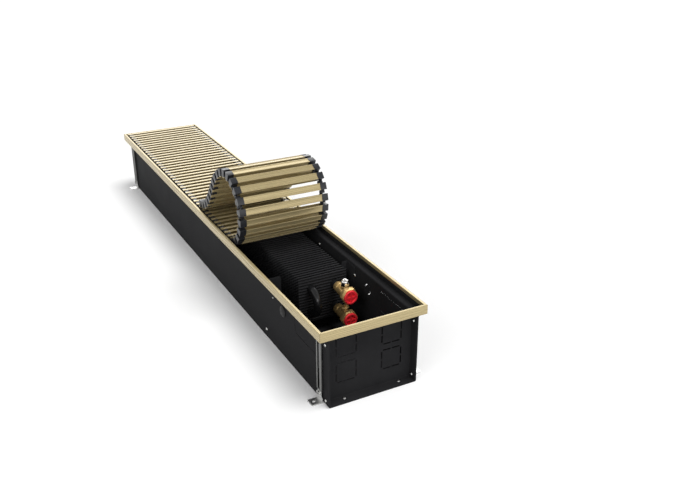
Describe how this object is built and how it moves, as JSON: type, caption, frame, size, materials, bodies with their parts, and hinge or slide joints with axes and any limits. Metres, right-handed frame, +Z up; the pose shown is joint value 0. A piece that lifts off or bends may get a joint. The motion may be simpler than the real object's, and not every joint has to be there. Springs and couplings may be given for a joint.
{
  "type": "trench convector heater",
  "caption": "Sunk convector trough with a trim frame, a roll-up slatted grille half rolled back, a finned heat exchanger and capped water connections.",
  "frame": {"origin": "centre of the trough's plan, on the floor it stands on", "axes": "+X across the trough, +Y along it away from the water connections, +Z up"},
  "size_m": [0.217, 1.2, 0.2884],
  "materials": {
    "champagne_aluminium": "anodised, satin champagne",
    "black_painted_steel": "satin black powder coat",
    "black_lacquered_copper": "matt black lacquer on copper tube and aluminium fins",
    "galvanised_steel": "zinc plated",
    "brass": "machined",
    "red_plastic": "moulded, semi-gloss",
    "nickel_plate": "nickel plated",
    "black_rubber": "moulded",
    "black_plastic": "moulded, satin"
  },
  "bodies": {
    "root": {"trough": "black_painted_steel", "edge_strip_right": "black_painted_steel", "edge_strip_left": "black_painted_steel", "end_panel_near": "black_painted_steel", "end_panel_far": "black_painted_steel", "frame_rail_right": "champagne_aluminium", "frame_rail_left": "champagne_aluminium", "frame_rail_far": "champagne_aluminium", "frame_rail_near": "champagne_aluminium", "foot_rail_near_left": "black_painted_steel", "foot_bolt_near_left": "galvanised_steel", "foot_rail_near_right": "black_painted_steel", "foot_bolt_near_right": "galvanised_steel", "foot_rail_far_left": "black_painted_steel", "foot_bolt_far_left": "galvanised_steel", "foot_rail_far_right": "black_painted_steel", "foot_bolt_far_right": "galvanised_steel", "heat_exchanger": "black_lacquered_copper", "return_bend_near": "black_lacquered_copper", "return_bend_far_lower": "black_lacquered_copper", "return_bend_far_upper": "black_lacquered_copper", "exchanger_bracket_near": "black_painted_steel", "exchanger_bracket_far": "black_painted_steel", "fitting_lower": "brass", "fitting_upper": "brass", "air_vent": "nickel_plate", "blanking_plug": "brass", "cable_grommet": "black_rubber", "grille_flat": "champagne_aluminium"},
    "grille_slat_01": {"grille_slat_01": "champagne_aluminium"},
    "grille_slat_02": {"grille_slat_02": "champagne_aluminium"},
    "grille_slat_03": {"grille_slat_03": "champagne_aluminium"},
    "grille_slat_04": {"grille_slat_04": "champagne_aluminium"},
    "grille_slat_05": {"grille_slat_05": "champagne_aluminium"},
    "grille_slat_06": {"grille_slat_06": "champagne_aluminium"},
    "grille_slat_07": {"grille_slat_07": "champagne_aluminium"},
    "grille_slat_08": {"grille_slat_08": "champagne_aluminium"},
    "grille_slat_09": {"grille_slat_09": "champagne_aluminium"},
    "grille_slat_10": {"grille_slat_10": "champagne_aluminium"},
    "grille_slat_11": {"grille_slat_11": "champagne_aluminium"},
    "grille_slat_12": {"grille_slat_12": "champagne_aluminium"},
    "grille_slat_13": {"grille_slat_13": "champagne_aluminium"},
    "grille_slat_14": {"grille_slat_14": "champagne_aluminium"},
    "grille_slat_15": {"grille_slat_15": "champagne_aluminium"},
    "grille_slat_16": {"grille_slat_16": "champagne_aluminium"},
    "grille_slat_17": {"grille_slat_17": "champagne_aluminium"},
    "grille_slat_18": {"grille_slat_18": "champagne_aluminium"},
    "grille_slat_19": {"grille_slat_19": "champagne_aluminium"},
    "grille_slat_20": {"grille_slat_20": "champagne_aluminium"},
    "grille_slat_21": {"grille_slat_21": "champagne_aluminium"},
    "grille_slat_22": {"grille_slat_22": "champagne_aluminium"},
    "foot_near_left": {"foot_bracket_near_left": "galvanised_steel"},
    "foot_near_right": {"foot_bracket_near_right": "galvanised_steel"},
    "foot_far_left": {"foot_bracket_far_left": "galvanised_steel"},
    "foot_far_right": {"foot_bracket_far_right": "galvanised_steel"},
    "union_nut_lower": {"union_nut_lower": "brass"},
    "transport_cap_lower": {"transport_cap_lower": "red_plastic"},
    "union_nut_upper": {"union_nut_upper": "brass"},
    "transport_cap_upper": {"transport_cap_upper": "red_plastic"},
    "bleed_screw": {"bleed_screw": "nickel_plate"}
  },
  "joints": [
    {"name": "grille_hinge_01", "type": "hinge", "parent": "root", "child": "grille_slat_01", "pos_m": [0, -0.1805, 0.1463], "axis": [1, 0, 0], "range_deg": [0, 16.79]},
    {"name": "grille_hinge_02", "type": "hinge", "parent": "grille_slat_01", "child": "grille_slat_02", "pos_m": [0, -0.19869, 0.15179], "axis": [1, 0, 0], "range_deg": [0, 16.79]},
    {"name": "grille_hinge_03", "type": "hinge", "parent": "grille_slat_02", "child": "grille_slat_03", "pos_m": [0, -0.21452, 0.1623], "axis": [1, 0, 0], "range_deg": [0, 16.79]},
    {"name": "grille_hinge_04", "type": "hinge", "parent": "grille_slat_03", "child": "grille_slat_04", "pos_m": [0, -0.22663, 0.17694], "axis": [1, 0, 0], "range_deg": [0, 16.79]},
    {"name": "grille_hinge_05", "type": "hinge", "parent": "grille_slat_04", "child": "grille_slat_05", "pos_m": [0, -0.234, 0.19445], "axis": [1, 0, 0], "range_deg": [0, 16.79]},
    {"name": "grille_hinge_06", "type": "hinge", "parent": "grille_slat_05", "child": "grille_slat_06", "pos_m": [0, -0.236, 0.21335], "axis": [1, 0, 0], "range_deg": [0, 16.79]},
    {"name": "grille_hinge_07", "type": "hinge", "parent": "grille_slat_06", "child": "grille_slat_07", "pos_m": [0, -0.23245, 0.23201], "axis": [1, 0, 0], "range_deg": [0, 16.79]},
    {"name": "grille_hinge_08", "type": "hinge", "parent": "grille_slat_07", "child": "grille_slat_08", "pos_m": [0, -0.22366, 0.24885], "axis": [1, 0, 0], "range_deg": [0, 16.79]},
    {"name": "grille_hinge_09", "type": "hinge", "parent": "grille_slat_08", "child": "grille_slat_09", "pos_m": [0, -0.21038, 0.26244], "axis": [1, 0, 0], "range_deg": [0, 16.79]},
    {"name": "grille_hinge_10", "type": "hinge", "parent": "grille_slat_09", "child": "grille_slat_10", "pos_m": [0, -0.19373, 0.27161], "axis": [1, 0, 0], "range_deg": [0, 16.79]},
    {"name": "grille_hinge_11", "type": "hinge", "parent": "grille_slat_10", "child": "grille_slat_11", "pos_m": [0, -0.17515, 0.27558], "axis": [1, 0, 0], "range_deg": [0, 16.79]},
    {"name": "grille_hinge_12", "type": "hinge", "parent": "grille_slat_11", "child": "grille_slat_12", "pos_m": [0, -0.15622, 0.27401], "axis": [1, 0, 0], "range_deg": [0, 16.79]},
    {"name": "grille_hinge_13", "type": "hinge", "parent": "grille_slat_12", "child": "grille_slat_13", "pos_m": [0, -0.13854, 0.26703], "axis": [1, 0, 0], "range_deg": [0, 13.35]},
    {"name": "grille_hinge_14", "type": "hinge", "parent": "grille_slat_13", "child": "grille_slat_14", "pos_m": [0, -0.12296, 0.25617], "axis": [1, 0, 0], "range_deg": [0, 9.9]},
    {"name": "grille_hinge_15", "type": "hinge", "parent": "grille_slat_14", "child": "grille_slat_15", "pos_m": [0, -0.10947, 0.24278], "axis": [1, 0, 0], "range_deg": [0, 6.46]},
    {"name": "grille_hinge_16", "type": "hinge", "parent": "grille_slat_15", "child": "grille_slat_16", "pos_m": [0, -0.09758, 0.22797], "axis": [1, 0, 0], "range_deg": [0, 3.01]},
    {"name": "grille_hinge_17", "type": "hinge", "parent": "grille_slat_16", "child": "grille_slat_17", "pos_m": [0, -0.08648, 0.21255], "axis": [1, 0, 0], "range_deg": [-0.433, 0]},
    {"name": "grille_hinge_18", "type": "hinge", "parent": "grille_slat_17", "child": "grille_slat_18", "pos_m": [0, -0.07526, 0.19721], "axis": [1, 0, 0], "range_deg": [-3.88, 0]},
    {"name": "grille_hinge_19", "type": "hinge", "parent": "grille_slat_18", "child": "grille_slat_19", "pos_m": [0, -0.06304, 0.18266], "axis": [1, 0, 0], "range_deg": [-7.32, 0]},
    {"name": "grille_hinge_20", "type": "hinge", "parent": "grille_slat_19", "child": "grille_slat_20", "pos_m": [0, -0.04906, 0.16979], "axis": [1, 0, 0], "range_deg": [-10.77, 0]},
    {"name": "grille_hinge_21", "type": "hinge", "parent": "grille_slat_20", "child": "grille_slat_21", "pos_m": [0, -0.03293, 0.15976], "axis": [1, 0, 0], "range_deg": [-14.21, 0]},
    {"name": "grille_hinge_22", "type": "hinge", "parent": "grille_slat_21", "child": "grille_slat_22", "pos_m": [0, -0.01482, 0.154], "axis": [1, 0, 0], "range_deg": [-17.66, 0]},
    {"name": "foot_slide_near_left", "type": "slide", "parent": "root", "child": "foot_near_left", "axis": [0, 0, -1], "range_m": [0, 0.045]},
    {"name": "foot_slide_near_right", "type": "slide", "parent": "root", "child": "foot_near_right", "axis": [0, 0, -1], "range_m": [0, 0.045]},
    {"name": "foot_slide_far_left", "type": "slide", "parent": "root", "child": "foot_far_left", "axis": [0, 0, -1], "range_m": [0, 0.045]},
    {"name": "foot_slide_far_right", "type": "slide", "parent": "root", "child": "foot_far_right", "axis": [0, 0, -1], "range_m": [0, 0.045]},
    {"name": "nut_turn_lower", "type": "hinge", "parent": "root", "child": "union_nut_lower", "pos_m": [0.0465, -0.422, 0.049], "axis": [0, -1, 0], "continuous": true},
    {"name": "cap_pull_lower", "type": "slide", "parent": "union_nut_lower", "child": "transport_cap_lower", "axis": [0, -1, 0], "range_m": [0, 0.03]},
    {"name": "nut_turn_upper", "type": "hinge", "parent": "root", "child": "union_nut_upper", "pos_m": [0.0465, -0.422, 0.097], "axis": [0, -1, 0], "continuous": true},
    {"name": "cap_pull_upper", "type": "slide", "parent": "union_nut_upper", "child": "transport_cap_upper", "axis": [0, -1, 0], "range_m": [0, 0.03]},
    {"name": "bleed_screw_turn", "type": "hinge", "parent": "root", "child": "bleed_screw", "pos_m": [0.0465, -0.407, 0.12], "axis": [0, 0, 1], "range_deg": [0, 360]}
  ],
  "couplings": [
    {"joint": "grille_hinge_17", "follows": "grille_hinge_12", "ratio": -0.025646},
    {"joint": "grille_hinge_18", "follows": "grille_hinge_12", "ratio": -0.23078},
    {"joint": "grille_hinge_19", "follows": "grille_hinge_12", "ratio": -0.4359},
    {"joint": "grille_hinge_20", "follows": "grille_hinge_12", "ratio": -0.64103},
    {"joint": "grille_hinge_21", "follows": "grille_hinge_12", "ratio": -0.84616},
    {"joint": "grille_hinge_22", "follows": "grille_hinge_12", "ratio": -1.0513}
  ]
}
